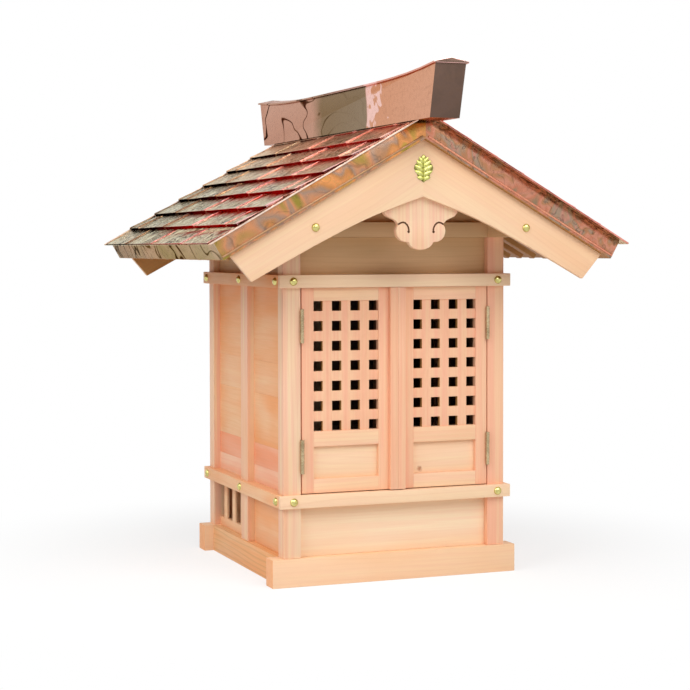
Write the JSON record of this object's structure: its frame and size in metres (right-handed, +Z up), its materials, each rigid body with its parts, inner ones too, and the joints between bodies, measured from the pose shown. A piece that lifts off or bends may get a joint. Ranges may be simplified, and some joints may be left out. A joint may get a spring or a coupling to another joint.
{
  "type": "wayside shrine",
  "caption": "Small timber wayside shrine with a gable front, lattice double doors, side vents, a rail-wrapped body and a pitched copper roof with a raised ridge box",
  "frame": {"origin": "On the ground under the middle of the body", "axes": "+Z up, the doors face -Y, the ridge runs along Y, +X to the right seen from the front"},
  "size_m": [0.6732, 0.773, 0.7816],
  "materials": {
    "cypress": "planed, unpainted",
    "door_cypress": "planed, unpainted",
    "copper": "bright copper sheet",
    "gilt": "gilded",
    "hinge_steel": "satin"
  },
  "bodies": {
    "shrine": {"end_sills": "cypress", "side_sills": "cypress", "corner_posts": "cypress", "middle_posts": "cypress", "front_lower_rail": "cypress", "back_lower_rail": "cypress", "side_lower_rails": "cypress", "front_upper_rail": "cypress", "back_upper_rail": "cypress", "side_upper_rails": "cypress", "floor_board": "cypress", "front_lower_panel": "cypress", "left_wall_panels": "cypress", "right_wall_panels": "cypress", "back_wall_panels": "cypress", "lower_wall_panels": "cypress", "vent_grilles": "cypress", "frieze_boards": "cypress", "tie_beams": "cypress", "wall_plates": "cypress", "ridge_beam": "cypress", "gable_boards": "cypress", "left_rafters": "cypress", "right_rafters": "cypress", "left_bargeboards": "cypress", "right_bargeboards": "cypress", "pendants": "cypress", "left_roof_slab": "copper", "right_roof_slab": "copper", "left_roof_sheet": "copper", "right_roof_sheet": "copper", "ridge_box": "copper", "ridge_cap": "copper", "gable_ornament": "gilt", "post_hinges": "hinge_steel"},
    "left_door": {"left_door_frame": "door_cypress", "left_door_lattice": "door_cypress", "left_door_panel": "door_cypress", "left_meeting_strip": "door_cypress", "left_door_hinges": "hinge_steel"},
    "right_door": {"right_door_frame": "door_cypress", "right_door_lattice": "door_cypress", "right_door_panel": "door_cypress", "right_meeting_strip": "door_cypress", "right_door_hinges": "hinge_steel"}
  },
  "joints": [
    {"name": "left_door_swing", "type": "hinge", "parent": "shrine", "child": "left_door", "pos_m": [-0.1547, -0.1897, 0.295], "axis": [0, 0, -1], "range_deg": [0, 165]},
    {"name": "right_door_swing", "type": "hinge", "parent": "shrine", "child": "right_door", "pos_m": [0.1547, -0.1897, 0.295], "axis": [0, 0, 1], "range_deg": [0, 165]}
  ]
}
